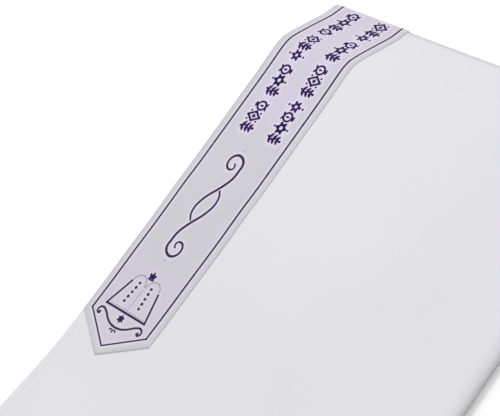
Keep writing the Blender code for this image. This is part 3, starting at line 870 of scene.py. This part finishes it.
stitching, sizes, line, along, up = geometry_tree("stitch_row", ("Step", "Stitch Length", "Thread"))
steps = add_node(stitching, "GeometryNodeResampleCurve", {"mode": "LENGTH"}, Curve=line, Length=sizes["Step"])
facing = add_node(stitching, "FunctionNodeAlignRotationToVector", {"axis": "X"}, Vector=along)
facing = add_node(stitching, "FunctionNodeAlignRotationToVector", {"axis": "Z", "pivot_axis": "X"},
                  Rotation=facing, Vector=up)
half = sizes["Stitch Length"] * 0.5
thread = sizes["Thread"]
arc = add_node(stitching, "GeometryNodeCurveQuadraticBezier", Resolution=5,
               Start=add_node(stitching, "ShaderNodeCombineXYZ", X=half * -1.0, Z=thread * -1.2),
               Middle=add_node(stitching, "ShaderNodeCombineXYZ", Z=thread * 2.4),
               End=add_node(stitching, "ShaderNodeCombineXYZ", X=half, Z=thread * -1.2))
stitch = add_node(stitching, "GeometryNodeCurveToMesh", Curve=arc,
                  Profile_Curve=circle(stitching, 6, thread), Fill_Caps=True)
set_out(stitching, thread_white, Points=steps, Instance=stitch, Rotation=facing)


def on_cloth(u, place, out=0.0):
    """A line of points on the shawl and the way up at each."""
    here = cloth_skin(u, place, out)
    return here, cloth_skin(u, place, out + MM) - here


across = np.linspace(0.02, 1.99, 160)
bare = np.linspace(BAND_REACH + 0.016, PILE_LENGTH - 0.004, 200)
hem_rows = [on_cloth(along_u(PILE_LENGTH - HEM_SEAM), across) for along_u in (u_top, u_under)]
hem_rows += [on_cloth(along_u(bare), HEM_SEAM / BAND_ZONE) for along_u in (u_top, u_under)]
hem_line = line_mesh("hem_seam", [row[0] for row in hem_rows], [row[1] for row in hem_rows])
hem_stitches = grow("hem_stitches", hem_line, stitching,
                    step=3.4 * MM, stitch_length=2.7 * MM, thread=0.22 * MM)
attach(hem_stitches, "root")

BAND_SEAM = 2.4 * MM
reach = u_top(BAND_REACH)
tip_u = u_top(BAND_REACH + BAND_POINT - BAND_SEAM * 1.25)
far_in = BAND_WIDTH - BAND_SEAM
corners = np.array([(-reach, BAND_SEAM), (reach, BAND_SEAM), (tip_u, BAND_WIDTH / 2), (reach, far_in),
                    (-reach, far_in), (-tip_u, BAND_WIDTH / 2), (-reach, BAND_SEAM)])
seam = [corners[:1]]
for a, b, steps in zip(corners, corners[1:], (519, 23, 23, 519, 23, 23)):
    seam.append(a + (b - a) * np.linspace(0, 1, steps + 1)[1:, None])
seam = np.concatenate(seam)
seam_out = SEAM_GAP + BAND_WALL * BAND_FACE - np.where(seam[:, 0] > 0, 0.06, 0.14) * MM
seam_line = skin(seam[:, 0], seam[:, 1] / BAND_ZONE, seam_out)
seam_up = skin(seam[:, 0], seam[:, 1] / BAND_ZONE, seam_out + MM) - seam_line
band_stitches = grow("band_stitches", line_mesh("band_seam", [seam_line], [seam_up]), stitching,
                     step=2.9 * MM, stitch_length=2.3 * MM, thread=0.13 * MM)
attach(band_stitches, "root")

# Corner tassels (tzitzit), one for each corner. Four woollen cords drawn through a sewn eyelet make eight
# strands; one winds round the rest 7, 8, 11 and 13 times between double knots, and the rest hangs free.
# Columns: name, root in from the open end, root's Y from the middle, root's height or 0 for on top,
# turn sideways per metre, sway, all mm
TASSELS = (
    ("tassel_top_corner", 40.0, 176.0, 0.0, 170.0, 5.0),
    ("tassel_under_corner", 9.0, 130.0, 3.95, -120.0, -6.0),
    ("tassel_inner_upper", 11.5, -122.0, 12.5, 130.0, 6.0),
    ("tassel_inner_lower", 12.5, -166.0, 6.9, -60.0, -5.0),
)
CORD_RADIUS = 2.2 * MM
KNOT_RADIUS = 3.6 * MM
HEAD_RADIUS = 2.05 * MM
WOUND_RADIUS = 1.55 * MM
WOUND_LENGTH = 85.0 * MM
KNOT_SHARES = (0.98, 0.74, 0.52, 0.28, 0.04)
WINDINGS = (7, 8, 11, 13)
KNOT_HALF = 3.4 * MM
STRANDS = 8
STRAND_SPREAD = 1.7 * MM
STRAND_LENGTH = 0.150
STRAND_RADIUS = 0.75 * MM
STRAND_LANE = 3.6 * MM
STRAND_LANES = (2.5, 0.5, -2.5, -3.5, -1.5, -0.5, 1.5, 3.5)
FLOOR_CLEAR = 0.4 * MM
PLY_PITCH = 4.2 * MM
HEAD_TURN = 30.0 * MM
END_X = FOLD_END_X - PILE_LENGTH
WOOL_LOW = (0.60, 0.585, 0.575, 1.0)
WOOL_HIGH = (0.80, 0.785, 0.77, 1.0)

wool_cord, wool_tree = new_material("wool_cord", Sheen_Weight=0.35, Sheen_Roughness=0.5,
                                    Specular_IOR_Level=0.2)
fibre = noise(wool_tree, object_place(wool_tree), 1500.0, 4.0, Roughness=0.7)
tone = noise(wool_tree, object_place(wool_tree), 120.0)
fibre_bump = add_node(wool_tree, "ShaderNodeBump", Height=fibre, Strength=0.5, Distance=0.15 * MM)
feed(wool_tree, Base_Color=mix_colour(wool_tree, fibre * 0.7 + tone * 0.3, WOOL_LOW, WOOL_HIGH),
     Roughness=0.7 + 0.2 * fibre, Normal=fibre_bump)

turns, sizes, line, along, up = geometry_tree("turns_of_thread", ("Turn Radius", "Thread", "Tilt"))
leaning = add_node(turns, "ShaderNodeVectorMath", {"operation": "SCALE"}, n0=up, Scale=sizes["Tilt"])
axis = add_node(turns, "ShaderNodeVectorMath", {"operation": "ADD"}, n0=along, n1=leaning)
facing = add_node(turns, "FunctionNodeAlignRotationToVector", {"axis": "Z"}, Vector=axis)
ring = add_node(turns, "GeometryNodeCurveToMesh", Curve=circle(turns, 18, sizes["Turn Radius"]),
                Profile_Curve=circle(turns, 7, sizes["Thread"]))
set_out(turns, wool_cord, Points=line, Instance=ring, Rotation=facing, Scale=kept(turns, "size", "FLOAT"))


def tube(centres, rings):
    """Points and faces of a tube: rings are offsets across it, given as Y and up."""
    tangent = np.gradient(centres, axis=0)
    tangent /= np.linalg.norm(tangent, axis=1, keepdims=True)
    side = np.cross([0.0, 0.0, 1.0], tangent)
    side /= np.linalg.norm(side, axis=1, keepdims=True)
    rise = np.cross(tangent, side)
    points = centres[:, None] + rings[..., :1] * side[:, None] + rings[..., 1:] * rise[:, None]
    count, sides = rings.shape[:2]
    ids = np.arange(count * sides).reshape(count, sides)
    after = np.roll(ids, -1, axis=1)
    faces = np.stack([ids[:-1], after[:-1], after[1:], ids[1:]], axis=-1).reshape(-1, 4).tolist()
    return points.reshape(-1, 3), faces + [ids[0][::-1].tolist(), ids[-1].tolist()]


def lobed(radii, lobes, turn, sides, depth):
    """Rings of a twisted cord: its section has one lobe for each ply."""
    angle = np.linspace(0, 2 * math.pi, sides, endpoint=False)[None, :]
    r = radii[:, None] * (1 - depth + depth * np.abs(np.cos(lobes * (angle - turn[:, None]) / 2)))
    return np.stack([r * np.cos(angle), r * np.sin(angle)], axis=-1)


def strand(centre, k):
    """One two-ply strand and the small knot at its end."""
    run = flat_lengths(centre)
    radius = np.full(len(run), STRAND_RADIUS)
    body = tube(centre, lobed(radius, 2, run / PLY_PITCH * math.pi * 2 + k, 8, 0.34))
    knot_run = np.linspace(run[-1] - 4.5 * MM, run[-1] - 2.2 * MM, 7)
    knot_line = np.stack([np.interp(knot_run, run, centre[:, axis]) for axis in range(3)], axis=-1)
    knot_radius = 0.98 * MM * np.sin(np.linspace(0.35, math.pi - 0.35, 7))
    return [body, tube(knot_line, lobed(knot_radius, 3, np.linspace(0, 1.5, 7), 9, 0.12))]


def wool_object(name, tubes):
    """One smooth wool object of several tubes."""
    points, faces = np.concatenate([more_points for more_points, more_faces in tubes]), []
    offset = 0
    for more_points, more_faces in tubes:
        faces += [[offset + corner for corner in face] for face in more_faces]
        offset += len(more_points)
    mesh = new_mesh(name, points.tolist(), [], faces)
    mesh.shade_smooth()
    mesh.materials.append(wool_cord)
    return add_object(name, mesh)


def make_tassel(name, root_in, root_y, root_z, sideways, sway):
    """A tassel over the open end: its wool, the turns of its winding strand and its double knots."""
    on_top = root_z == 0.0
    high = float(table(PILE_TOP, PILE_LENGTH)) + SEAM_GAP + CORD_RADIUS + 0.4 * MM if on_top else root_z * MM
    low = FLOOR_CLEAR + KNOT_RADIUS
    drop_from, drop = END_X - 4 * MM, (42 if on_top else 30) * MM
    total = root_in * MM + drop + WOUND_LENGTH

    def route(d):
        """Places on the tassel's middle line, d metres from its root."""
        x = END_X + root_in * MM - d
        past = np.maximum(0.0, d - root_in * MM)
        y = MIDDLE_Y + (root_y + sideways * past + sway * np.sin(past * 14)) * MM
        z = high + (low - high) * ease((drop_from - x) / drop)
        dip = 4.2 * MM * (1 - ease(d / (5 * MM))) if on_top else 0.0
        return np.stack([x, y, z - dip], axis=-1)

    knots = [total - WOUND_LENGTH * share for share in KNOT_SHARES]
    d = np.linspace(0, knots[-1] + 2 * MM, 150)
    radius = HEAD_RADIUS + (WOUND_RADIUS - HEAD_RADIUS) * ease((d - knots[0] + 8 * MM) / (6 * MM))
    tubes = [tube(route(d), lobed(radius, STRANDS, d / HEAD_TURN * 2 * math.pi, 32, 0.22))]
    base_z = route(np.array(knots[-1]))[2]
    floor_z = FLOOR_CLEAR + STRAND_RADIUS * 0.85
    for k, lane in enumerate(STRAND_LANES):
        middle = 2 * math.pi * (k + 1) / STRANDS
        length = STRAND_LENGTH * (1 + 0.05 * math.sin(2.4 * k + root_in))
        share = np.linspace(0, 1, int(length / PLY_PITCH * 5)) ** 1.15
        centre = route(knots[-1] + length * share + 1.0 * MM * share)
        settle = ease(share * 3.2)
        off_y, off_z = away(0, 0, middle, STRAND_SPREAD)
        wave = 0.6 * MM * np.sin(9 * share + 1.7 * k) * share
        centre[:, 1] += off_y * (1 - settle) + lane * STRAND_LANE * (0.55 + 0.45 * share) * settle + wave
        centre[:, 2] = (base_z + off_z) * (1 - settle) + floor_z * settle
        tubes += strand(centre, k)
    strands = wool_object(name + "_strands", tubes)
    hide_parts(name)

    wound = []
    for (a, b), count in zip(zip(knots, knots[1:]), WINDINGS):
        wound += np.linspace(a + KNOT_HALF, b - KNOT_HALF, count).tolist()
    wound_line = line_mesh("wound", [route(np.array(wound))], [[(0, 0, 1)] * len(wound)])
    winding = grow(name + "_winding", wound_line, turns, turn_radius=1.72 * MM, thread=0.5 * MM, tilt=0.16)
    knot_spots = [route(k + np.array([-1.7, -0.6, 0.6, 1.7]) * MM) for k in knots]
    knot_line = line_mesh("knots", knot_spots, [[(0, 0.4, 1)] * 4] * len(knots),
                          sizes=[0.82, 1.0, 1.0, 0.82] * len(knots))
    knot_rings = grow(name + "_knots", knot_line, turns, turn_radius=2.45 * MM, thread=1.0 * MM, tilt=-0.32)
    for part in (strands, winding, knot_rings):
        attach(part, "root")


for row in TASSELS:
    make_tassel(*row)

# Eyelet of the top corner, overcast with thread
EYELET_RADIUS = 4.2 * MM
top_root_in, top_root_y = TASSELS[0][1:3]
turn = np.linspace(0, 2 * math.pi, 30, endpoint=False)
eye_back = PILE_LENGTH - top_root_in * MM + EYELET_RADIUS * np.cos(turn)
eye_neck = PILE_WIDTH / 2 + table(EDGE_STRAY, PILE_LENGTH - top_root_in * MM)
eye_in = eye_neck - top_root_y * MM + EYELET_RADIUS * np.sin(turn)
eye_line, eye_up = on_cloth(u_top(eye_back), eye_in / BAND_ZONE, 0.15 * MM)
eyelet = grow("eyelet", line_mesh("eyelet_edge", [eye_line], [eye_up * 0], closed=True), turns,
              turn_radius=1.0 * MM, thread=0.3 * MM, tilt=0.0)
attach(eyelet, "root")

# Table, light and camera: a plain white ground in soft even light, seen from the near side with the
# camera rolled, so that the neck edge climbs to the upper right.
bpy.ops.mesh.primitive_plane_add(size=12.0, location=(0, 0, 0))
table_top = bpy.context.object
table_top.name = "table_top"
table_top.data.materials.append(new_material("ground", Base_Color=(0.97, 0.97, 0.97, 1), Roughness=0.8)[0])

CAMERA_PLACE = (0.06698, -1.14305, 1.26572)
CAMERA_AIM = (0.33702, 0.08265, 0.04)
CAMERA_ROLL = math.radians(-45.687)
CAMERA_LENS = 141.0
view = bpy.data.cameras.new("view")
view.lens = CAMERA_LENS
view.sensor_width = 36.0
camera = add_object("view", view)
aim = Vector(CAMERA_AIM) - Vector(CAMERA_PLACE)
turn = aim.to_track_quat("-Z", "Y").to_matrix() @ Matrix.Rotation(CAMERA_ROLL, 3, "Z")
camera.matrix_world = Matrix.Translation(CAMERA_PLACE) @ turn.to_4x4()
bpy.context.scene.camera = camera
KEY_PLACE = (0.973, 0.468, 2.255)
KEY_AIM = (0.3, 0.0, 0.0)
key_light = bpy.data.lights.new("key", "AREA")
key_light.shape = "SQUARE"
key_light.size = 0.8
key_light.energy = 16.9
key = add_object("key", key_light)
key.location = KEY_PLACE
key.rotation_euler = (Vector(KEY_AIM) - Vector(KEY_PLACE)).to_track_quat("-Z", "Y").to_euler()
world = bpy.data.worlds.new("studio")
world.use_nodes = True
sky = world.node_tree.nodes["Background"]
sky.inputs["Color"].default_value = (1, 1, 1, 1)
sky.inputs["Strength"].default_value = 0.84
bpy.context.scene.world = world
bpy.context.scene.view_settings.view_transform = "Standard"
